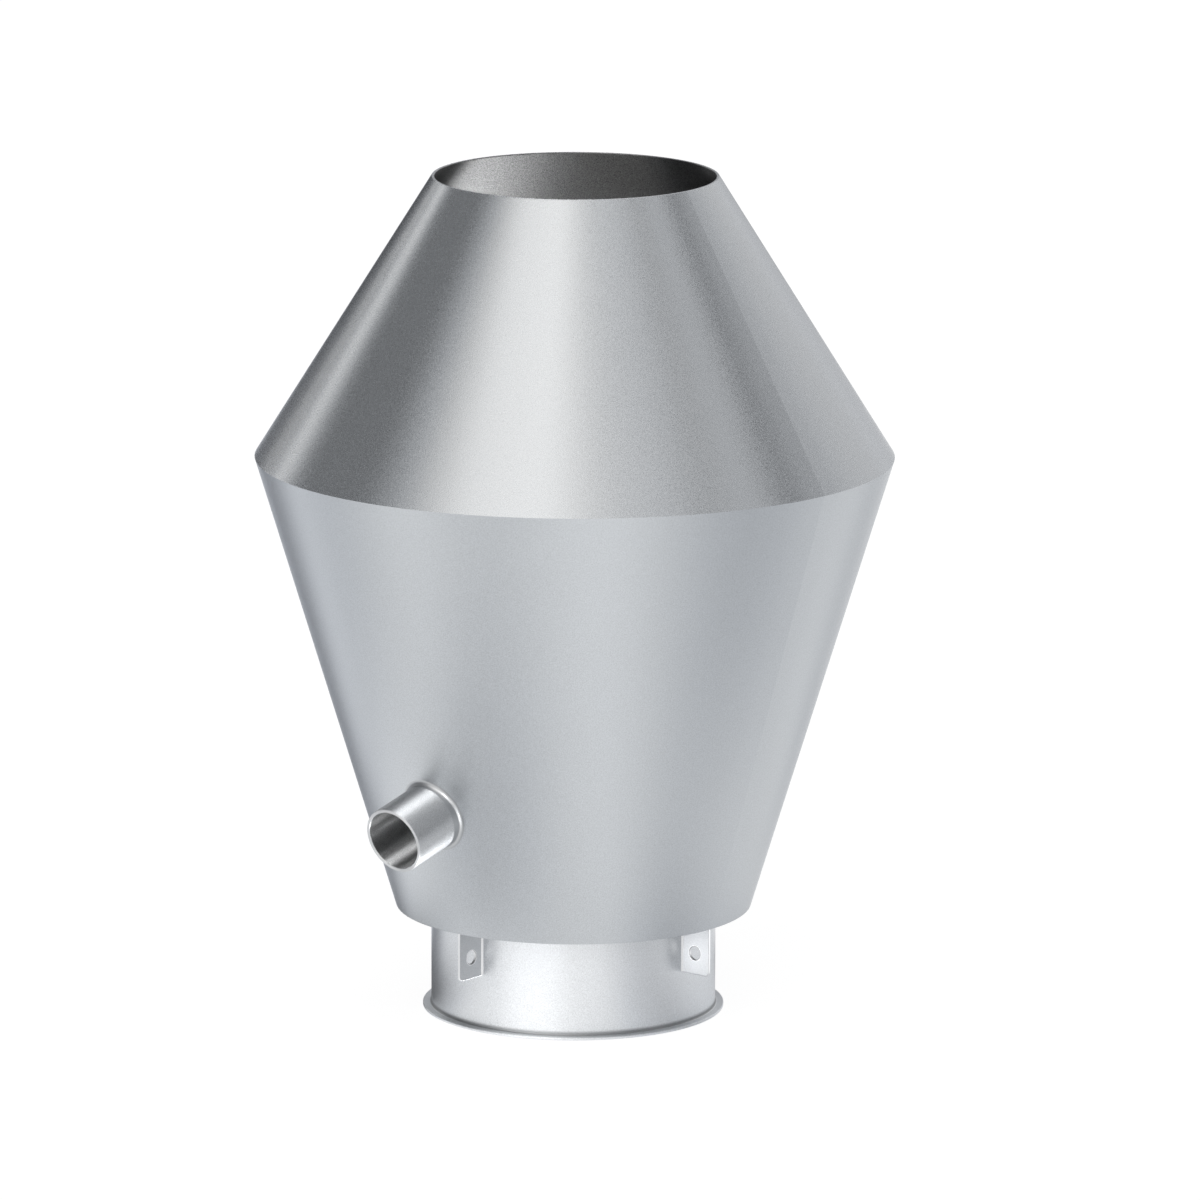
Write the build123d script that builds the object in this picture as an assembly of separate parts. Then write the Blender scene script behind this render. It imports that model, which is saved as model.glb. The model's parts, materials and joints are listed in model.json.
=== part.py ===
from build123d import *
from math import atan, cos, radians, sin, tan
import os

# A deflector hood for the open top of a vertical 200 mm duct, in millimetres.
# Two cones of stainless sheet meet at a sharp ridge. Air leaves through the outlet at the top.
# Rain that falls in lands in a funnel inside and runs out through the sloping drain pipe.
# The duct's axis is +Z, the hood stands on the lip of its spigot at z = 0, and the drain
# spout points to -Y.

# Sheet
sheet = 2.0                  # wall of the spigot, the cones and the catcher
edge_round = 0.5             # dressed edges of the outlet, the mouth and the lip

# Spigot
duct_bore_d = 200.0          # inside of the duct and of the spigot
lip_width = 6.0              # flat lip beyond the spigot's wall, for the clamp ring
lip_bend_r = 1.5             # hollow side of the bend between wall and lip
spigot_inside = 70.0         # length of spigot above the mouth of the lower cone

# Cones, measured over the outside
mouth_d = 254.5
mouth_z = 75.0
ridge_d = 455.0
ridge_z = 402.0
outlet_d = 203.5
hood_height = 603.0

# Seam welds of the rolled sheets, on the side away from the spout and staggered
seam_azimuth = 225.0         # from -Y, counter-clockwise seen from above
seam_stagger = 20.0
seam_width = 5.0
seam_proud = 0.4
seam_stop = 3.0              # from each end of the sheet

# Brackets between spigot and lower cone
bracket_sheet = 2.0
bracket_top_inset = 10.0     # below the top of the spigot
tab_drop = 35.0              # tab below the mouth of the cone
tab_inset = 0.9              # tab's outer edge, inside the outside of the cone's mouth
tab_corner_r = 3.5
tab_edge_round = 0.6
tab_hole_d = 10.0
tab_hole_share = 0.476       # of the tab's width, between the spigot and the hole's middle
tab_hole_rise = 15.5         # hole above the lower edge of the tab
tab_hole_round = 0.3
foot_weld_leg = 1.2

# Drain pipe
drain_d = 48.3
drain_wall = 2.6
drain_slope = 15.0           # below level, in degrees
drain_wall_z = 166.5         # where the pipe's axis crosses the outside of the cone
drain_reach = 42.8           # along the axis, from the cone to the pipe's tip
drain_overrun = 38.0         # pipe beyond the hood's axis, under the catcher
drain_edge_round = 0.6
drain_weld_r = 3.5
drain_weld_toe = 4.0         # along the pipe, from the cone's nearest point to the weld's toe
drain_weld_cap = 0.5         # rise of the weld's thin edge from its toe to the cone
drain_weld_root = 0.5        # depth to which the weld melts into the pipe
end_plate = 3.0

# Rain catcher
catcher_rim_d = 300.0        # outside
catcher_rim_z = 395.0
catcher_neck_d = 36.0        # outside, over the top of the drain pipe
catcher_weld_r = 3.0

# Stays between catcher and shell
stay_sheet = 2.0
stay_height = 40.0
stay_top_inset = 12.0        # below the rim of the catcher

# Brackets and stays stand on four sides, counter-clockwise from the spout
sides = ("front", "right", "back", "left")

# Worked out
bore_r = duct_bore_d / 2
spigot_r = bore_r + sheet
lip_r = spigot_r + lip_width
spigot_top_z = mouth_z + spigot_inside
mouth_r = mouth_d / 2
ridge_r = ridge_d / 2
outlet_r = outlet_d / 2
lower_slope = atan((ridge_r - mouth_r) / (ridge_z - mouth_z))
upper_slope = atan((ridge_r - outlet_r) / (hood_height - ridge_z))


def lower_outside(z):
    return mouth_r + (z - mouth_z) * tan(lower_slope)


def lower_inside(z):
    return lower_outside(z) - sheet / cos(lower_slope)


def upper_outside(z):
    return ridge_r - (z - ridge_z) * tan(upper_slope)


def upper_inside(z):
    return upper_outside(z) - sheet / cos(upper_slope)


# Height and radius at which the insides of the two cones meet
inner_ridge_z = ridge_z + (sheet / cos(lower_slope) - sheet / cos(upper_slope)) / (
    tan(lower_slope) + tan(upper_slope)
)
inner_ridge_r = lower_inside(inner_ridge_z)

# The drain pipe: its axis crosses the cone's outside at drain_wall_z and the hood's axis higher up
drain_r = drain_d / 2
drain_bore_r = drain_r - drain_wall
drain_root_r = drain_r - drain_weld_root
drain_tilt = radians(drain_slope)
drain_wall_r = lower_outside(drain_wall_z)
drain_axis_z = drain_wall_z + drain_wall_r * tan(drain_tilt)
drain_length = (drain_wall_r + drain_overrun) / cos(drain_tilt) + drain_reach
drain_run = Vector(0, -cos(drain_tilt), -sin(drain_tilt))
drain_end = Vector(0, 0, drain_axis_z) - drain_run * (drain_overrun / cos(drain_tilt))
drain_frame = Plane(origin=drain_end, z_dir=drain_run)

# Along the pipe from its inner end: where the weld's root starts and where its toe ends
drain_root = drain_length - drain_reach - sheet
drain_tilt_to_cone = abs(lower_slope - drain_tilt)
drain_toe = drain_length - drain_reach + drain_r * tan(drain_tilt_to_cone) + drain_weld_toe

# The catcher: its neck stands on the top of the drain pipe
catcher_rim_r = catcher_rim_d / 2
catcher_neck_r = catcher_neck_d / 2
catcher_neck_z = drain_axis_z + drain_r / cos(drain_tilt)
catcher_foot_z = catcher_neck_z - catcher_neck_r / 2
catcher_slope = atan((catcher_rim_r - catcher_neck_r) / (catcher_rim_z - catcher_neck_z))


def catcher_outside(z):
    return catcher_neck_r + (z - catcher_neck_z) * tan(catcher_slope)


def catcher_inside(z):
    return catcher_outside(z) - sheet / cos(catcher_slope)


def turned(points, rounds=()):
    """Solid of revolution about Z from (radius, height) points, with some corners rounded."""
    face = make_face(Polyline(*points, close=True))
    for corner, radius in rounds:
        face = fillet(face.vertices().sort_by_distance(corner)[0], radius)
    return revolve(Plane.XZ * face, Axis.Z)


def seam_bead(low, high, azimuth):
    """Raised weld along a rolled sheet, between two (radius, height) points of its outside."""
    foot = Vector(low[0], 0, low[1])
    run = Vector(high[0], 0, high[1]) - foot
    half = seam_width / 2
    crown = ThreePointArc((-half, 0), (0, seam_proud), (half, 0))
    root = Polyline((half, 0), (half, -sheet / 2), (-half, -sheet / 2), (-half, 0))
    start = Plane(
        origin=foot + run.normalized() * seam_stop,
        x_dir=(0, -1, 0),
        z_dir=run,
    )
    bead = extrude(start * make_face(crown + root), run.length - 2 * seam_stop)
    return Rot(0, 0, azimuth - 90) * bead


def make_spigot():
    outline = [
        (bore_r, 0),
        (lip_r, 0),
        (lip_r, sheet),
        (spigot_r, sheet),
        (spigot_r, spigot_top_z),
        (bore_r, spigot_top_z),
    ]
    rounds = [
        ((bore_r, 0), lip_bend_r + sheet),
        ((spigot_r, sheet), lip_bend_r),
        ((lip_r, 0), edge_round),
        ((lip_r, sheet), edge_round),
    ]
    bend_top = (spigot_r, sheet + lip_bend_r)
    return turned(outline, rounds) + seam_bead(bend_top, (spigot_r, spigot_top_z), seam_azimuth)


def make_lower_cone():
    mouth_inner = (lower_inside(mouth_z), mouth_z)
    mouth_outer = (mouth_r, mouth_z)
    ridge_outer = (ridge_r, ridge_z)
    outline = [mouth_inner, mouth_outer, ridge_outer, (inner_ridge_r, inner_ridge_z)]
    rounds = [(mouth_inner, edge_round), (mouth_outer, edge_round)]
    seam = seam_bead(mouth_outer, ridge_outer, seam_azimuth - seam_stagger)
    return turned(outline, rounds) + seam - drain_rod()


def make_upper_cone():
    ridge_outer = (ridge_r, ridge_z)
    outlet_outer = (outlet_r, hood_height)
    outlet_inner = (upper_inside(hood_height), hood_height)
    outline = [ridge_outer, outlet_outer, outlet_inner, (inner_ridge_r, inner_ridge_z)]
    rounds = [(outlet_outer, edge_round), (outlet_inner, edge_round)]
    seam = seam_bead(ridge_outer, outlet_outer, seam_azimuth + seam_stagger)
    return turned(outline, rounds) + seam


def drain_rod():
    """The drain pipe's outside as a solid rod."""
    return extrude(drain_frame * Circle(drain_r), drain_length)


def make_drain_pipe():
    """The pipe, with a shallow groove that the weld's root fills and an inlet under the catcher."""
    tip_outer = (drain_r, drain_length)
    tip_inner = (drain_bore_r, drain_length)
    outline = [
        (drain_bore_r, 0),
        (drain_r, 0),
        (drain_r, drain_root),
        (drain_root_r, drain_root),
        (drain_root_r, drain_toe),
        (drain_r, drain_toe),
        tip_outer,
        tip_inner,
    ]
    rounds = [(tip_outer, drain_edge_round), (tip_inner, drain_edge_round)]
    above_z = catcher_neck_z + drain_wall
    inlet = turned(
        [
            (0, catcher_foot_z),
            (catcher_inside(catcher_foot_z), catcher_foot_z),
            (catcher_inside(above_z), above_z),
            (0, above_z),
        ]
    )
    return drain_frame * turned(outline, rounds) - inlet


def make_end_plate():
    return extrude(drain_frame * Circle(drain_r), -end_plate)


def make_rain_catcher():
    outline = [
        (catcher_outside(catcher_foot_z), catcher_foot_z),
        (catcher_rim_r, catcher_rim_z),
        (catcher_inside(catcher_rim_z), catcher_rim_z),
        (catcher_inside(catcher_foot_z), catcher_foot_z),
    ]
    return turned(outline) - drain_rod()


def fillet_weld(body, rod, radius):
    """Hollow weld in the corner where a rod stands out of a solid body."""
    joined = body + rod
    return fillet(new_edges(body, rod, combined=joined), radius) - body - rod


def make_drain_weld():
    """Weld where the pipe leaves the cone, melted into the pipe and running out at a level toe."""
    cone = turned([(0, mouth_z), (mouth_r, mouth_z), (ridge_r, ridge_z), (0, ridge_z)])
    foot = (drain_r, drain_root)
    toe = (drain_r, drain_toe)
    cap = drain_frame * turned([foot, (drain_r + drain_weld_cap, drain_root), toe])
    root = drain_frame * turned([(drain_root_r, drain_root), foot, toe, (drain_root_r, drain_toe)])
    return fillet_weld(cone, drain_rod(), drain_weld_r) + (cap - cone) + root


def make_catcher_weld():
    outline = [
        (0, catcher_foot_z),
        (catcher_outside(catcher_foot_z), catcher_foot_z),
        (catcher_rim_r, catcher_rim_z),
        (0, catcher_rim_z),
    ]
    return fillet_weld(turned(outline), drain_rod(), catcher_weld_r)


def radial_plate(face, seat, thickness):
    """Flat plate in the XZ plane, its edges cut to the round walls that the seat lies between."""
    return extrude(Plane.XZ * face, thickness / 2, both=True) & turned(seat)


def make_bracket():
    """Plate inside the cone's mouth, with a tab that hangs below it and has rounded edges."""
    tab_r = mouth_r - tab_inset
    tab_z = mouth_z - tab_drop
    top_z = spigot_top_z - bracket_top_inset
    blank = [
        (bore_r, tab_z),
        (tab_r, tab_z),
        (tab_r, mouth_z),
        (lower_outside(mouth_z), mouth_z),
        (lower_outside(top_z), top_z),
        (bore_r, top_z),
    ]
    seat = [
        (spigot_r, tab_z),
        (lip_r + ridge_r, tab_z),
        (lip_r + ridge_r, mouth_z),
        (lower_inside(mouth_z), mouth_z),
        (lower_inside(top_z), top_z),
        (spigot_r, top_z),
    ]
    face = make_face(Polyline(*blank, close=True))
    face = fillet(face.vertices().sort_by_distance((tab_r, tab_z))[0], tab_corner_r)
    hole_r = spigot_r + (tab_r - spigot_r) * tab_hole_share
    face -= Pos(hole_r, tab_z + tab_hole_rise) * Circle(tab_hole_d / 2)
    plate = radial_plate(face, seat, bracket_sheet)
    for side_y in (-bracket_sheet / 2, bracket_sheet / 2):
        rim = plate.edges().filter_by_position(Axis.Y, side_y, side_y)
        hole_rim = rim.filter_by(GeomType.CIRCLE).filter_by(lambda edge: edge.is_closed)
        plate = fillet(hole_rim, tab_hole_round)
        rim = plate.edges().filter_by_position(Axis.Y, side_y, side_y)
        tab_rim = rim.filter_by(lambda edge: is_tab_rim(edge, tab_r, tab_z))
        plate = fillet(tab_rim, tab_edge_round)
    return plate


def is_tab_rim(edge, tab_r, tab_z):
    """Whether an edge runs along the tab's lower side, its corner or its outer side."""
    middle = edge.position_at(0.5)
    low = middle.Z < tab_z + tab_corner_r
    outer = middle.X > tab_r - tab_corner_r and middle.Z < mouth_z - tab_corner_r
    return not edge.is_closed and (low or outer)


def make_foot_welds():
    """The fillet welds on both sides of one bracket's foot."""
    low_z = mouth_z - tab_drop + tab_edge_round
    length = spigot_top_z - bracket_top_inset - low_z
    face_y = bracket_sheet / 2
    section = [
        (spigot_r + foot_weld_leg, face_y),
        (spigot_r, face_y + foot_weld_leg),
        (bore_r, face_y + foot_weld_leg),
        (bore_r, face_y),
    ]
    bead = extrude(make_face(Polyline(*section, close=True)), length) - extrude(Circle(spigot_r), length)
    bead = Pos(0, 0, low_z) * bead
    return [bead, mirror(bead, Plane.XZ)]


def make_stay():
    top_z = catcher_rim_z - stay_top_inset
    low_z = top_z - stay_height
    blank = [
        (catcher_inside(low_z), low_z),
        (lower_outside(low_z), low_z),
        (lower_outside(top_z), top_z),
        (catcher_inside(top_z), top_z),
    ]
    seat = [
        (catcher_outside(low_z), low_z),
        (lower_inside(low_z), low_z),
        (lower_inside(top_z), top_z),
        (catcher_outside(top_z), top_z),
    ]
    return radial_plate(make_face(Polyline(*blank, close=True)), seat, stay_sheet)


def on_side(shape, index):
    """Copy of a shape that is made on the +X side, turned to one of the four sides."""
    return Rot(0, 0, 360 / len(sides) * index - 90) * shape


def save(shape, node):
    export_step(shape, f"parts/{node}.step")


os.makedirs("parts", exist_ok=True)

save(make_spigot(), "spigot")
save(make_lower_cone(), "lower_cone")
save(make_upper_cone(), "upper_cone")
save(make_drain_pipe(), "drain_pipe")
save(make_end_plate(), "drain_end_plate")
save(make_drain_weld(), "drain_weld")
save(make_rain_catcher(), "rain_catcher")
save(make_catcher_weld(), "catcher_weld")

bracket = make_bracket()
foot_welds = make_foot_welds()
stay = make_stay()
bracket_welds = []
for index, side in enumerate(sides):
    save(on_side(bracket, index), f"bracket_{side}")
    save(on_side(stay, index), f"catcher_stay_{side}")
    bracket_welds += [on_side(weld, index) for weld in foot_welds]
save(Compound(children=bracket_welds), "bracket_welds")
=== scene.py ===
import json
import math

import bpy
from mathutils import Matrix, Vector


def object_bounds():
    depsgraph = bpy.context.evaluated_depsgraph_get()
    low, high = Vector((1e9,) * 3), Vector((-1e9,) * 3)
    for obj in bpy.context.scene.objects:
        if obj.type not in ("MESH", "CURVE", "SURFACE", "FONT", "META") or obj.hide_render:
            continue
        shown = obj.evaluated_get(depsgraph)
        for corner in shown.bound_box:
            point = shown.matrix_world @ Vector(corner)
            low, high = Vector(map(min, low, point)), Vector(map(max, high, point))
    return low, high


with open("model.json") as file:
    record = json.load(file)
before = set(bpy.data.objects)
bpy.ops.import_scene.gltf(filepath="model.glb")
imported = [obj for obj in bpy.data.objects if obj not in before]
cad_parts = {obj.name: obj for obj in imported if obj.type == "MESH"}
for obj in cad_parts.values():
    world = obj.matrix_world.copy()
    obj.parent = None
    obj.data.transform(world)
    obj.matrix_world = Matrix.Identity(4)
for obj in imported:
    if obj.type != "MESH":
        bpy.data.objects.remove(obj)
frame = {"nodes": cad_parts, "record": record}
cad_low, cad_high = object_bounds()

hood_top = cad_high.z

# The camera: azimuth 0 looks along +Y, at the drain spout. It is aimed at the middle of the hood's axis,
# which stands at target_pixel in a frame of frame_side pixels.
camera_azimuth = math.radians(40.0)
camera_elevation = math.radians(12.005)
camera_roll = 0.00273
camera_distance = 7.0471
camera_lens = 296.56
camera_sensor = 36.0
camera_near = 0.1
camera_far = 200.0
frame_side = 1200.0
target_pixel = (574.33, 592.84)

# The drain pipe's free end and the holes of the tabs, from the part's mounts
mounts = {mount["name"]: mount for mount in frame["record"]["mounts"]}
spout_middle = Vector(mounts["drain_spout"]["pos_m"])
drain_axis = Vector(mounts["drain_spout"]["axis"]).normalized()
spout_radius = mounts["drain_spout"]["dims"]["r_mm"] / 1000
tab_hole_z = mounts["tab_holes_front_back"]["pos_m"][2]
tab_hole_reach = mounts["tab_holes_front_back"]["dims"]["spacing_x_mm"] / 2000
tab_hole_radius = mounts["tab_holes_front_back"]["dims"]["hole_r_mm"] / 1000
hood_axis = Vector((0.0, 0.0, 1.0))

white = (1.0, 1.0, 1.0)

# Colours of the steel. The last three are painted: highlight on dressed edges, highlight on cut ends and
# shade on the rims of tab holes.
sheet_colour = (0.585, 0.602, 0.618)
lower_colour = (0.578, 0.601, 0.624)
spigot_colour = (0.800, 0.820, 0.840)
pipe_colour = (0.535, 0.548, 0.562)
plate_colour = (0.530, 0.542, 0.558)
weld_colour = (0.50, 0.51, 0.52)
edge_highlight_colour = (0.90, 0.91, 0.92)
end_highlight_colour = (0.68, 0.69, 0.70)
hole_rim_shade_colour = (0.10, 0.10, 0.10)

# Roughness of dressed edges and cut ends
edge_roughness = 0.50

# Finishes inside the drain pipe and inside the hood: colour, roughness and grain. Their colours are darker
# than outside, as painted shade in these hollows.
drain_pipe_shade_and_finish = ((0.46, 0.465, 0.47), 0.31, 2.0)
hood_shade_and_finish = ((0.322, 0.324, 0.327), 0.44, 4.0)

# Grain: a fine speckle and a broad faint cloud. Scales are in cells per metre. Depths are the whole swing
# of the colour's or the roughness's shift, and the speckle's are for a grain of 1, as is the strength of
# its bump, which is speckle_height metres high.
speckle_scale = 1500.0
speckle_depth = 0.40
speckle_rough_depth = 0.20
speckle_bump = 0.5
speckle_height = 0.000035
cloud_scale = 22.0
cloud_detail = 3.0
cloud_roughness = 0.55
cloud_depth = 0.04
cloud_rough_depth = 0.02

# across / along of steel() is 1 less this many times the shader's anisotropy
anisotropy_reach = 0.9

# Where masks go from 0 to 1. Three are cosines of the angle between the surface's normal and the way to
# the axis, along the pipe or round the hood; the last is a share of the tab hole's radius.
inside_from = (0.2, 0.6)
end_from = (0.45, 0.75)
side_from = (0.60, 0.97)
off_hole_from = (0.95, 1.02)

# Rings round a tab's hole, as shares of the hole's radius: painted shade on the rounded rim, painted
# highlight outside it
hole_wall = 1.012
hole_round = 1.06
hole_rim = 1.15
ring_blur = 0.01

# Painted shade in the bend between the spigot and its lip: darker from the lip's upper face, and fading up
# the spigot
lip_thick = 0.002
bend_shade_from = (1.02 * lip_thick, 1.2 * lip_thick)
bend_shade_fade = (0.0030, 0.0062)
painted_bend_shade = 0.40


def node_maker(tree):
    """Short way to add nodes: make(type, settings, input=value or socket, ...) returns the node.

    An input called i and a number is found by its place.
    """

    def make(kind, settings=None, **inputs):
        node = tree.nodes.new(kind)
        for key, value in (settings or {}).items():
            setattr(node, key, value)
        for key, value in inputs.items():
            by_place = key[0] == "i" and key[1:].isdigit()
            socket = node.inputs[int(key[1:])] if by_place else node.inputs[key]
            if isinstance(value, bpy.types.NodeSocket):
                tree.links.new(value, socket)
            else:
                socket.default_value = value
        return node

    return make


def math_node(make, operation, *values):
    inputs = {f"i{k}": value for k, value in enumerate(values)}
    return make("ShaderNodeMath", {"operation": operation}, **inputs).outputs[0]


def vector_node(make, operation, *values):
    inputs = {f"i{k}": value for k, value in enumerate(values)}
    node = make("ShaderNodeVectorMath", {"operation": operation}, **inputs)
    return node.outputs["Value"] if operation in ("DOT_PRODUCT", "LENGTH") else node.outputs["Vector"]


def scale_vector(make, vector, factor):
    return make("ShaderNodeVectorMath", {"operation": "SCALE"}, i0=vector, Scale=factor).outputs["Vector"]


def smooth_step(make, value, low, high):
    settings = {"interpolation_type": "SMOOTHSTEP"}
    return make("ShaderNodeMapRange", settings, Value=value, **{"From Min": low, "From Max": high}).outputs[0]


def invert(make, value):
    return math_node(make, "SUBTRACT", 1.0, value)


def mix_values(make, share, first, second):
    return make("ShaderNodeMix", {"data_type": "FLOAT"}, i0=share, i2=first, i3=second).outputs[0]


def mix_colours(make, share, first, second):
    colours = {}
    for key, colour in (("i6", first), ("i7", second)):
        colours[key] = colour if isinstance(colour, bpy.types.NodeSocket) else (*colour, 1.0)
    return make("ShaderNodeMix", {"data_type": "RGBA"}, i0=share, **colours).outputs["Result"]


def ramp_node(make, value, stops):
    """Colour ramp from (position, colour) stops; a colour may be one grey level."""
    node = make("ShaderNodeValToRGB", None, Fac=value)
    ramp = node.color_ramp
    ramp.interpolation = "LINEAR"
    while len(ramp.elements) < len(stops):
        ramp.elements.new(0.5)
    for element, (position, colour) in zip(ramp.elements, stops):
        element.position = position
        if not isinstance(colour, tuple):
            colour = (colour, colour, colour)
        element.color = (*colour, 1.0)
    return node.outputs["Color"]


def place_node(make):
    return make("ShaderNodeTexCoord").outputs["Object"]


def plain_normal(make):
    return make("ShaderNodeNewGeometry").outputs["True Normal"]


def noise_shift(make, noise, depth):
    """Noise of 0 to 1 as a shift about 0, with a depth that is its whole swing."""
    return math_node(make, "MULTIPLY", math_node(make, "SUBTRACT", noise, 0.5), depth)


def turned_grain(make, axis, centre):
    """Direction in the surface, in a plane with the axis: across the marks of rolling or turning."""
    normal = make("ShaderNodeNewGeometry").outputs["Normal"]
    arm = vector_node(make, "SUBTRACT", place_node(make), centre)
    round_about = vector_node(make, "NORMALIZE", vector_node(make, "CROSS_PRODUCT", axis, arm))
    return vector_node(make, "NORMALIZE", vector_node(make, "CROSS_PRODUCT", round_about, normal))


def bore_mask(make, axis, centre):
    """1 on surfaces that face the axis, such as the inside of a pipe, else 0."""
    arm = vector_node(make, "SUBTRACT", place_node(make), centre)
    along = scale_vector(make, axis, vector_node(make, "DOT_PRODUCT", arm, axis))
    arm = vector_node(make, "SUBTRACT", arm, along)
    outward = vector_node(make, "DOT_PRODUCT", plain_normal(make), vector_node(make, "NORMALIZE", arm))
    return smooth_step(make, math_node(make, "MULTIPLY", outward, -1.0), *inside_from)


def hole_gap(make):
    """Distance from the middle of the nearest tab's hole, as a share of the hole's radius."""
    apart = make("ShaderNodeSeparateXYZ", None, Vector=place_node(make)).outputs
    x_square = math_node(make, "POWER", apart["X"], 2.0)
    y_square = math_node(make, "POWER", apart["Y"], 2.0)
    reach = math_node(make, "POWER", math_node(make, "ADD", x_square, y_square), 0.5)
    outward = math_node(make, "SUBTRACT", reach, tab_hole_reach)
    upward = math_node(make, "SUBTRACT", apart["Z"], tab_hole_z)
    from_middle = make("ShaderNodeCombineXYZ", None, X=outward, Y=upward).outputs[0]
    return math_node(make, "DIVIDE", vector_node(make, "LENGTH", from_middle), tab_hole_radius)


def hole_ring(make, inner, outer):
    """1 on a ring round a tab's hole, between two shares of the hole's radius; else 0."""
    gap = hole_gap(make)
    past_inner = smooth_step(make, gap, inner - ring_blur, inner + ring_blur)
    past_outer = smooth_step(make, gap, outer - ring_blur, outer + ring_blur)
    return math_node(make, "MULTIPLY", past_inner, invert(make, past_outer))


def edge_highlight_mask(make, edges, axis):
    """1 on dressed edges, where a highlight is painted, else 0.

    "rim" is for a plate that stands in a plane with Z, with a painted highlight on the ring outside its hole,
    and "ends" is for the cut ends of a pipe, where a highlight is painted too.
    """
    normal = plain_normal(make)
    if edges == "ends":
        facing = math_node(make, "ABSOLUTE", vector_node(make, "DOT_PRODUCT", normal, axis))
        return smooth_step(make, facing, *end_from)
    sideways = vector_node(make, "CROSS_PRODUCT", hood_axis, place_node(make))
    sideways = vector_node(make, "NORMALIZE", sideways)
    facing = math_node(make, "ABSOLUTE", vector_node(make, "DOT_PRODUCT", normal, sideways))
    edge = invert(make, smooth_step(make, facing, *side_from))
    edge = math_node(make, "MULTIPLY", edge, smooth_step(make, hole_gap(make), *off_hole_from))
    return math_node(make, "MAXIMUM", edge, hole_ring(make, hole_round, hole_rim))


def bend_shade_mask(make):
    """1 where shade is painted in the bend between the spigot and its lip, fading up the spigot; else 0."""
    height = make("ShaderNodeSeparateXYZ", None, Vector=place_node(make)).outputs["Z"]
    above = smooth_step(make, height, *bend_shade_from)
    return math_node(make, "MULTIPLY", above, invert(make, smooth_step(make, height, *bend_shade_fade)))


def steel(name, colour, along, across=None, axis=None, centre=(0, 0, 0), grain=1.0, edges=None, inner_shade_and_finish=None,
          paint_bend_shade=False):
    """Satin stainless steel: fine speckled grain and faint clouding, with painted shade inside hollows, in
    the spigot's bend and on tab hole rims, and painted highlight on edges.

    along and across are the gloss lobe's widths along the line towards the axis's ends and round the axis.
    """
    across = across or along
    material = bpy.data.materials.new(name)
    material.use_nodes = True
    tree = material.node_tree
    tree.nodes.clear()
    make = node_maker(tree)
    place = place_node(make)

    speckle = make("ShaderNodeTexNoise", None, Vector=place, Scale=speckle_scale, Detail=0.0)
    speckle = speckle.outputs["Fac"]
    cloud = make("ShaderNodeTexNoise", None, Vector=place, Scale=cloud_scale, Detail=cloud_detail,
                 Roughness=cloud_roughness)
    cloud = cloud.outputs["Fac"]
    depth = speckle_depth * grain
    if inner_shade_and_finish:
        inside = bore_mask(make, axis, centre)
        inner_shade_colour, inside_roughness, inside_grain = inner_shade_and_finish
        depth = mix_values(make, inside, depth, speckle_depth * inside_grain)
    shift = math_node(make, "ADD", noise_shift(make, cloud, cloud_depth), noise_shift(make, speckle, depth))
    level = math_node(make, "ADD", 1.0, shift)
    rough_shift = math_node(make, "ADD", noise_shift(make, cloud, cloud_rough_depth),
                            noise_shift(make, speckle, speckle_rough_depth * grain))
    # The shader's roughness is the square root of its lobe's width, here of the two widths' mean
    roughness = math.sqrt(math.sqrt(along * across))
    rough = math_node(make, "ADD", roughness, rough_shift)
    bump = make("ShaderNodeBump", None, Strength=speckle_bump * grain, Distance=speckle_height,
                Height=speckle)

    tint = colour
    # Inside a bore the colour darkens as painted shade; its roughness is the inner finish's own
    if inner_shade_and_finish:
        tint = mix_colours(make, inside, tint, inner_shade_colour)
        rough = mix_values(make, inside, rough, inside_roughness)
    # Painted shade in the bend between the spigot and its lip
    if paint_bend_shade:
        level = math_node(make, "MULTIPLY", level, mix_values(make, bend_shade_mask(make), 1.0, painted_bend_shade))
    tint = scale_vector(make, tint, level)
    # Painted highlight on dressed edges and cut ends, rougher than the face
    if edges:
        edge = edge_highlight_mask(make, edges, axis)
        tint = mix_colours(make, edge, tint, edge_highlight_colour if edges == "rim" else end_highlight_colour)
        rough = mix_values(make, edge, rough, edge_roughness)
    # Painted shade on the rounded rim of a tab's hole
    if edges == "rim":
        tint = mix_colours(make, hole_ring(make, hole_wall, hole_round), tint, hole_rim_shade_colour)

    shader = make("ShaderNodeBsdfPrincipled", None, **{
        "Base Color": tint,
        "Metallic": 1.0,
        "Roughness": rough,
        "Anisotropic": (1 - across / along) / anisotropy_reach,
        "Normal": bump.outputs["Normal"],
    })
    if axis and across != along:
        tree.links.new(turned_grain(make, axis, centre), shader.inputs["Tangent"])
    output = make("ShaderNodeOutputMaterial")
    tree.links.new(shader.outputs[0], output.inputs["Surface"])
    return material


def dress(node, material):
    piece = frame["nodes"][node]
    piece.data.materials.clear()
    piece.data.materials.append(material)


# The insides of both cones get a darker colour as painted shade
upper_steel = steel("upper_steel", sheet_colour, along=0.25, across=0.025, axis=hood_axis, grain=2.0,
                    inner_shade_and_finish=hood_shade_and_finish)
lower_steel = steel("lower_steel", lower_colour, along=0.25, across=0.15, axis=hood_axis, grain=1.1,
                    inner_shade_and_finish=hood_shade_and_finish)
# The spigot gets painted shade in its bend to the lip
spigot_steel = steel("spigot_steel", spigot_colour, along=0.25, across=0.12, axis=hood_axis, grain=1.2,
                     paint_bend_shade=True)
# The drain pipe's bore is darker as painted shade, and its cut ends carry a painted highlight
pipe_steel = steel("pipe_steel", pipe_colour, along=0.40, across=0.12, axis=drain_axis, centre=spout_middle,
                   grain=1.5, edges="ends", inner_shade_and_finish=drain_pipe_shade_and_finish)
plate_steel = steel("plate_steel", plate_colour, along=0.18, grain=0.8, edges="rim")
weld_steel = steel("weld_steel", weld_colour, along=0.12, grain=0.4)
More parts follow.
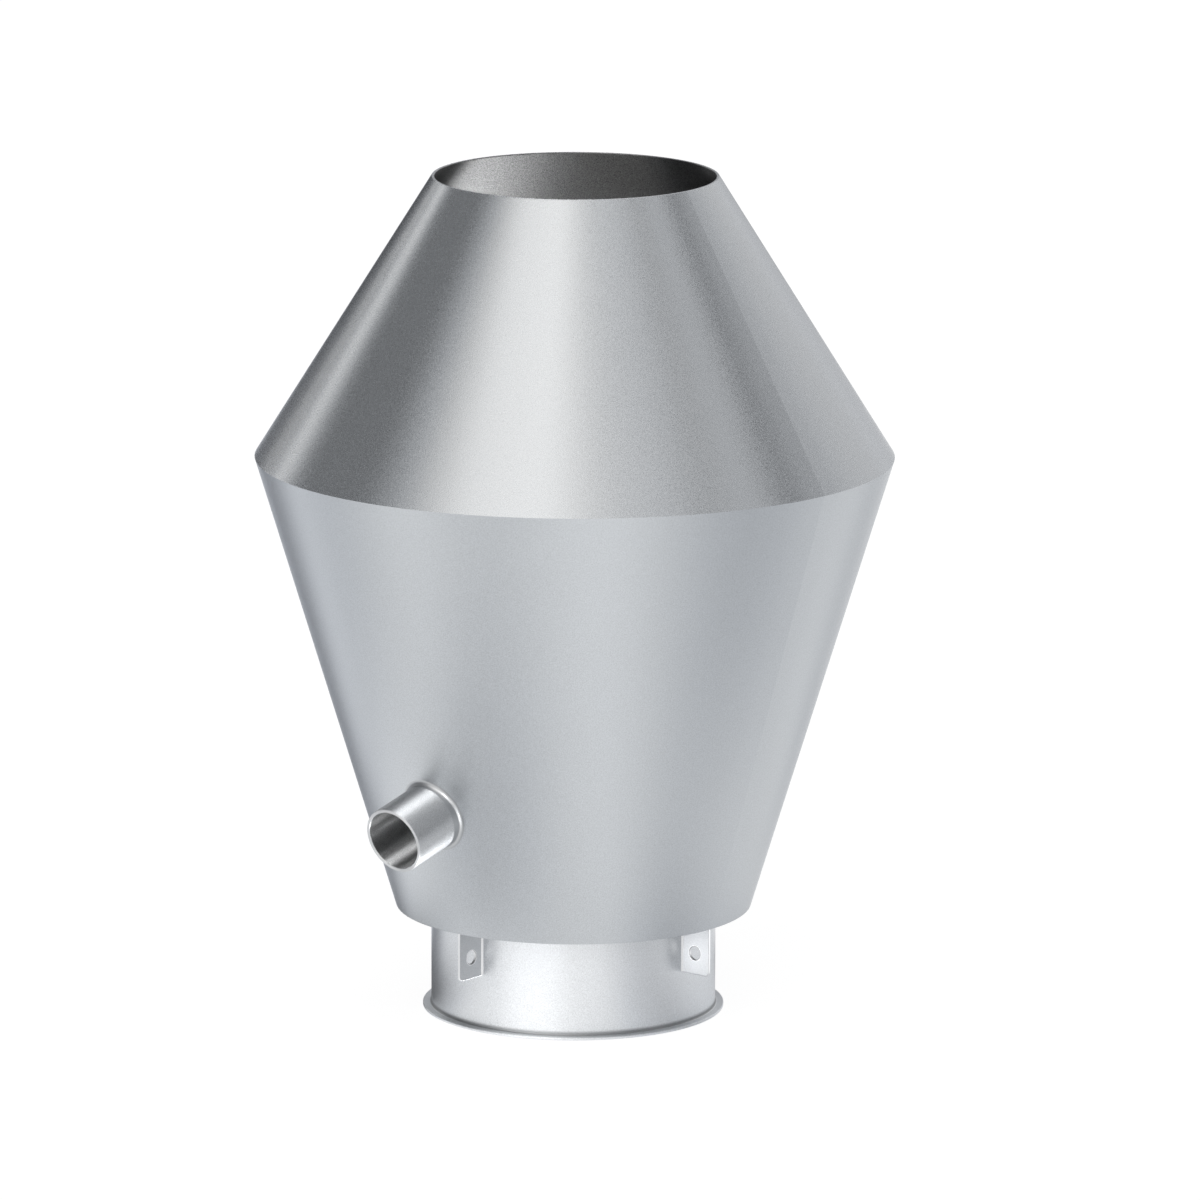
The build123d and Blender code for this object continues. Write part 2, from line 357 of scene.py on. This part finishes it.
# The tabs' foot welds are coloured bright as a painted highlight
foot_weld_highlight_steel = steel("foot_weld_highlight_steel", edge_highlight_colour, along=0.25, grain=0.4)

dress("spigot", spigot_steel)
dress("upper_cone", upper_steel)
dress("lower_cone", lower_steel)
dress("rain_catcher", lower_steel)
dress("drain_pipe", pipe_steel)
dress("drain_end_plate", plate_steel)
dress("drain_weld", weld_steel)
dress("catcher_weld", weld_steel)
dress("bracket_welds", foot_weld_highlight_steel)
for side in ("front", "right", "back", "left"):
    dress(f"bracket_{side}", plate_steel)
    dress(f"catcher_stay_{side}", plate_steel)


# Studio round the object. Each profile is the light by azimuth from the camera's side, in degrees and
# positive to the camera's right, as corners that straight lines join. A key box hangs high behind the
# camera's left shoulder, with dimmer panels under it, and flags keep the object's left edge dark.
low_panels = [
    (-180, 0.4), (-174, 0.4), (-170, 0.05), (-155, 0.2), (-142, 0.2), (-135, 0.5), (-120, 0.2), (-85, 0.2),
    (-60, 1.2), (-10, 1.2), (15, 1.0), (45, 0.2), (120, 0.2), (150, 0.7), (168, 0.6), (180, 0.4),
]
middle_panels = [
    (-180, 0.4), (-170, 0.5), (-157, 0.1), (-154, 1.9), (-142, 0.3), (-138, 1.7), (-126, 0.2), (-84, 0.2),
    (-58, 0.9), (-15, 0.9), (20, 0.65), (60, 0.4), (80, 0.9), (88, 0.2), (120, 0.75), (150, 1.0),
    (180, 0.4),
]
high_panels = [
    (-180, 0.4), (-90, 0.25), (-70, 0.85), (-50, 1.8), (-15, 1.85), (20, 0.95), (60, 0.4), (80, 0.9),
    (88, 0.2), (120, 0.75), (150, 1.0), (180, 0.4),
]
top_panels = [
    (-180, 0.9), (-120, 0.2), (-80, 0.2), (-50, 1.2), (-15, 1.3), (15, 0.8), (90, 1.2), (180, 0.9),
]
# Brightness of the floor as the steel mirrors it, a glow painted by azimuth for light and shade seen in
# reflections: at the hood's foot, darkened in places as painted shade under the hood, near it and further off
foot_floor = [
    (-180, 0.5), (-140, 0.1), (-95, 0.1), (-60, 1.1), (-25, 1.0), (20, 1.0), (50, 0.55), (80, 0.8),
    (120, 0.7), (140, 0.1), (180, 0.5),
]
near_floor = [
    (-180, 1.2), (-165, 1.2), (-155, 1.6), (-148, 1.4), (-136, 0.2), (-120, 0.3), (-105, 1.4), (-85, 1.4),
    (-45, 0.5), (-10, 0.95), (15, 1.2), (45, 0.95), (90, 1.1), (135, 0.95), (155, 1.6), (180, 1.2),
]
far_floor = [
    (-180, 1.4), (-175, 1.1), (-165, 1.5), (-155, 1.2), (-150, 0.2), (-130, 0.3), (-120, 1.5),
    (-105, 0.8), (-75, 0.95), (-60, 1.25), (-30, 0.95), (10, 1.3), (60, 0.65), (120, 1.2), (135, 0.65),
    (155, 1.25), (180, 1.4),
]
# Where bands meet, as the height of a direction: 0 is level and 1 straight up
low_to_high = (0.08, 0.30)
middle_to_high = (0.35, 0.55)
high_to_top = (0.72, 0.92)
# Where the floor's rings meet, in metres from the hood's axis; beyond them it goes over to the low panels
foot_to_near = (0.19, 0.27)
near_to_far = (0.33, 0.60)
far_to_panels = (2.5, 5.0)
# Brightest level that a profile can hold
panel_peak = 2.0

# Tints: the panels go from the shade's to the key's with their level, the floor from the shade's to white
key_tint = (1.020, 1.003, 0.985)
shade_tint = (0.975, 0.990, 1.020)
panel_tint_from = (0.6, 1.2)
floor_tint_from = (0.88, 1.0)
# Where the floor's painted glow is tinted too, and how strongly
cool_floor = [(-180, 1.0), (-145, 1.0), (-115, 0.3), (-90, 0.0), (180, 0.0)]
cool_tint = (0.955, 0.985, 1.055)


def panel_light(make, turn, panels):
    """Light of a band of panels for a turn of 0 to 1 round the object."""
    stops = [((azimuth + 180) / 360, level / panel_peak) for azimuth, level in panels]
    return math_node(make, "MULTIPLY", ramp_node(make, turn, stops), panel_peak)


def studio_turn(make, place):
    """Turn of 0 to 1 round the object, 0.5 towards the camera's side and 0.75 at its right."""
    across = (math.cos(camera_azimuth), math.sin(camera_azimuth), 0.0)
    towards = (math.sin(camera_azimuth), -math.cos(camera_azimuth), 0.0)
    side = vector_node(make, "DOT_PRODUCT", place, across)
    front = vector_node(make, "DOT_PRODUCT", place, towards)
    angle = math_node(make, "ARCTAN2", side, front)
    return math_node(make, "ADD", math_node(make, "DIVIDE", angle, 2 * math.pi), 0.5)


def make_world():
    world = bpy.data.worlds.new("studio")
    bpy.context.scene.world = world
    world.use_nodes = True
    tree = world.node_tree
    tree.nodes.clear()
    make = node_maker(tree)
    direction = make("ShaderNodeTexCoord").outputs["Generated"]
    turn = studio_turn(make, direction)
    height = make("ShaderNodeSeparateXYZ", None, Vector=direction).outputs["Z"]
    low = panel_light(make, turn, low_panels)
    middle = panel_light(make, turn, middle_panels)
    high = panel_light(make, turn, high_panels)
    high = mix_values(make, smooth_step(make, height, *middle_to_high), middle, high)
    light = mix_values(make, smooth_step(make, height, *low_to_high), low, high)
    top = panel_light(make, turn, top_panels)
    light = mix_values(make, smooth_step(make, height, *high_to_top), light, top)
    warm = smooth_step(make, light, *panel_tint_from)
    tint = ramp_node(make, warm, [(0.0, shade_tint), (1.0, key_tint)])
    to_camera = make("ShaderNodeLightPath").outputs["Is Camera Ray"]
    light = mix_values(make, to_camera, light, 1.0)
    tint = mix_colours(make, to_camera, tint, white)
    background = make("ShaderNodeBackground", None, Color=tint, Strength=light)
    output = make("ShaderNodeOutputWorld")
    tree.links.new(background.outputs[0], output.inputs["Surface"])


# Floor: pale, white to the camera, clear from below, and it keeps the object's shadow. To diffuse light its
# paint is floor_grey. To the camera it glows, over a paint of floor_shade that takes the shadow. To glossy
# rays it glows with the painted light and shade of the floor's profiles.
floor_size = 400.0
floor_drop = 0.0002
floor_grey = 0.85
floor_shade = 0.18
floor_glow = 0.90


def make_floor():
    half = floor_size / 2
    mesh = bpy.data.meshes.new("floor")
    corners = [(x * half, y * half, -floor_drop) for x, y in ((-1, -1), (1, -1), (1, 1), (-1, 1))]
    mesh.from_pydata(corners, [], [(0, 1, 2, 3)])
    floor = bpy.data.objects.new("floor", mesh)
    bpy.context.scene.collection.objects.link(floor)
    material = bpy.data.materials.new("floor_white")
    material.use_nodes = True
    tree = material.node_tree
    tree.nodes.clear()
    make = node_maker(tree)
    ray = make("ShaderNodeLightPath").outputs
    to_gloss = ray["Is Glossy Ray"]
    seen = math_node(make, "MAXIMUM", ray["Is Camera Ray"], to_gloss)
    seen = math_node(make, "MAXIMUM", seen, ray["Is Transmission Ray"])
    place = place_node(make)
    turn = studio_turn(make, place)
    reach = vector_node(make, "LENGTH", place)

    # What the steel mirrors: painted light and shade glowing on the floor
    foot = panel_light(make, turn, foot_floor)
    near = panel_light(make, turn, near_floor)
    far = panel_light(make, turn, far_floor)
    panels = panel_light(make, turn, low_panels)
    mirrored = mix_values(make, smooth_step(make, reach, *near_to_far), near, far)
    mirrored = mix_values(make, smooth_step(make, reach, *far_to_panels), mirrored, panels)
    mirrored = mix_values(make, smooth_step(make, reach, *foot_to_near), foot, mirrored)
    warm = smooth_step(make, mirrored, *floor_tint_from)
    shade = ramp_node(make, warm, [(0.0, shade_tint), (1.0, white)])
    cool = []
    for azimuth, share in cool_floor:
        cool.append(((azimuth + 180) / 360, tuple(1 + share * (part - 1) for part in cool_tint)))
    shade = vector_node(make, "MULTIPLY", shade, ramp_node(make, turn, cool))

    strength = mix_values(make, to_gloss, math_node(make, "MULTIPLY", seen, floor_glow), mirrored)
    tint = mix_colours(make, to_gloss, white, shade)
    glow = make("ShaderNodeEmission", None, Color=tint, Strength=strength)
    grey = mix_values(make, seen, floor_grey, floor_shade)
    grey = mix_values(make, to_gloss, grey, 0.0)
    grey = make("ShaderNodeCombineColor", None, i0=grey, i1=grey, i2=grey).outputs[0]
    paint = make("ShaderNodeBsdfDiffuse", None, Color=grey)
    above = make("ShaderNodeAddShader", None, i0=paint.outputs[0], i1=glow.outputs[0])
    below = make("ShaderNodeBsdfTransparent")
    under = make("ShaderNodeNewGeometry").outputs["Backfacing"]
    mixed = make("ShaderNodeMixShader", None, Fac=under, i1=above.outputs[0], i2=below.outputs[0])
    output = make("ShaderNodeOutputMaterial")
    tree.links.new(mixed.outputs[0], output.inputs["Surface"])
    mesh.materials.append(material)


def from_camera_side(azimuth, elevation):
    """Unit vector for an azimuth from the camera's side and an elevation, in degrees."""
    turn = math.radians(azimuth) + camera_azimuth
    rise = math.radians(elevation)
    return Vector((math.sin(turn) * math.cos(rise), -math.cos(turn) * math.cos(rise), math.sin(rise)))


def make_camera():
    data = bpy.data.cameras.new("camera")
    camera = bpy.data.objects.new("camera", data)
    bpy.context.scene.collection.objects.link(camera)
    data.lens = camera_lens
    data.sensor_width = camera_sensor
    data.shift_x = (frame_side / 2 - target_pixel[0]) / frame_side
    data.shift_y = (target_pixel[1] - frame_side / 2) / frame_side
    data.clip_start = camera_near
    data.clip_end = camera_far
    back = Vector((
        math.sin(camera_azimuth) * math.cos(camera_elevation),
        -math.cos(camera_azimuth) * math.cos(camera_elevation),
        math.sin(camera_elevation),
    ))
    right = Vector((math.cos(camera_azimuth), math.sin(camera_azimuth), 0.0))
    up = back.cross(right)
    tilt = Matrix((
        right * math.cos(camera_roll) + up * math.sin(camera_roll),
        up * math.cos(camera_roll) - right * math.sin(camera_roll),
        back,
    )).transposed()
    target = Vector((0.0, 0.0, hood_top / 2))
    camera.matrix_world = Matrix.Translation(target + back * camera_distance) @ tilt.to_4x4()
    bpy.context.scene.camera = camera


# Watts for each square metre of a lamp's face that make it as bright as a world of strength 1
lamp_watts = 4.0
# Bounces of light that a lamp may take part in: any number, or none
all_bounces = 1024
no_bounces = 0

# Where lamps are aimed, in metres: reach is from the hood's axis, z above the foot of the lip, out is
# beyond the tab's hole, and back is from the middle of the spout towards the cone
outlet_wall_reach = 0.100
outlet_wall_z = 0.58
spigot_reach = 0.102
spigot_z = 0.035
tab_edge_out = 0.012
duct_z = 0.06
weld_back = 0.027


def add_lamp(name, aim, direction, nodes, distance, half_angle, level, bounces=all_bounces):
    """Round lamp at a distance from the point it lights, for some nodes alone; it throws no shadows.

    half_angle is half of the angle in degrees that the lamp takes up, seen from that point.
    """
    data = bpy.data.lights.new(name, "AREA")
    lamp = bpy.data.objects.new(name, data)
    bpy.context.scene.collection.objects.link(lamp)
    data.shape = "DISK"
    data.size = 2 * distance * math.tan(math.radians(half_angle))
    area = math.pi * data.size ** 2 / 4
    data.energy = lamp_watts * level * area
    data.use_shadow = False
    data.cycles.use_multiple_importance_sampling = False
    data.cycles.max_bounces = bounces
    lamp.visible_camera = False
    back = direction.normalized()
    facing = back.to_track_quat("Z", "Y").to_matrix().to_4x4()
    lamp.matrix_world = Matrix.Translation(aim + back * distance) @ facing
    lit = bpy.data.collections.new(name + "_lights")
    for node in nodes:
        lit.objects.link(frame["nodes"][node])
    lamp.light_linking.receiver_collection = lit


def on_spout(angle, back):
    """Point on the spout, back along it from its middle, at an angle from its top to the front right."""
    side = drain_axis.cross(hood_axis).normalized()
    top = side.cross(drain_axis)
    turn = math.radians(angle)
    return spout_middle - drain_axis * back + (top * math.cos(turn) - side * math.sin(turn)) * spout_radius


def make_lamps():
    """Lamps that stand for the small bright reflections on single pieces."""
    add_lamp("lamp_over_spout", on_spout(24, 0), from_camera_side(-120, 87.5), ("drain_pipe",),
             distance=0.40, half_angle=19.5, level=2.8)
    add_lamp("lamp_under_spout", on_spout(123, 0), from_camera_side(42, -78), ("drain_pipe",),
             distance=0.13, half_angle=14.6, level=15.0)
    outlet_wall = from_camera_side(-142, 0) * outlet_wall_reach + Vector((0.0, 0.0, outlet_wall_z))
    add_lamp("lamp_in_outlet", outlet_wall, from_camera_side(114, -51.6), ("upper_cone",),
             distance=0.20, half_angle=16.5, level=5.0, bounces=no_bounces)
    add_lamp("lamp_high_on_weld", on_spout(45, weld_back), from_camera_side(-6, 24), ("drain_weld",),
             distance=0.30, half_angle=13.0, level=3.0)
    add_lamp("lamp_low_on_weld", on_spout(95, weld_back), from_camera_side(14, -32), ("drain_weld",),
             distance=0.20, half_angle=13.0, level=3.0)
    spigot_front = from_camera_side(-15, 0) * spigot_reach + Vector((0.0, 0.0, spigot_z))
    add_lamp("lamp_on_spigot", spigot_front, from_camera_side(-33, 10), ("spigot",),
             distance=0.50, half_angle=30.0, level=0.42)
    tab_edge = Vector((tab_hole_reach + tab_edge_out, 0.0, tab_hole_z))
    add_lamp("lamp_on_tab", tab_edge, from_camera_side(-80, -12), ("bracket_right",),
             distance=0.08, half_angle=12.0, level=2.0)
    add_lamp("lamp_on_tab_edge", tab_edge, from_camera_side(75, 5), ("bracket_right",),
             distance=0.20, half_angle=15.0, level=2.5)
    duct_middle = Vector((0.0, 0.0, duct_z))
    down = Vector((0.0, 0.0, -1.0))
    other_tabs = [f"bracket_{side}" for side in ("front", "back", "left")]
    add_lamp("lamp_in_duct", duct_middle, down, other_tabs, distance=0.16, half_angle=14.0, level=12.0)


make_floor()
make_world()
make_camera()
make_lamps()

view = bpy.context.scene.view_settings
view.view_transform = "Standard"
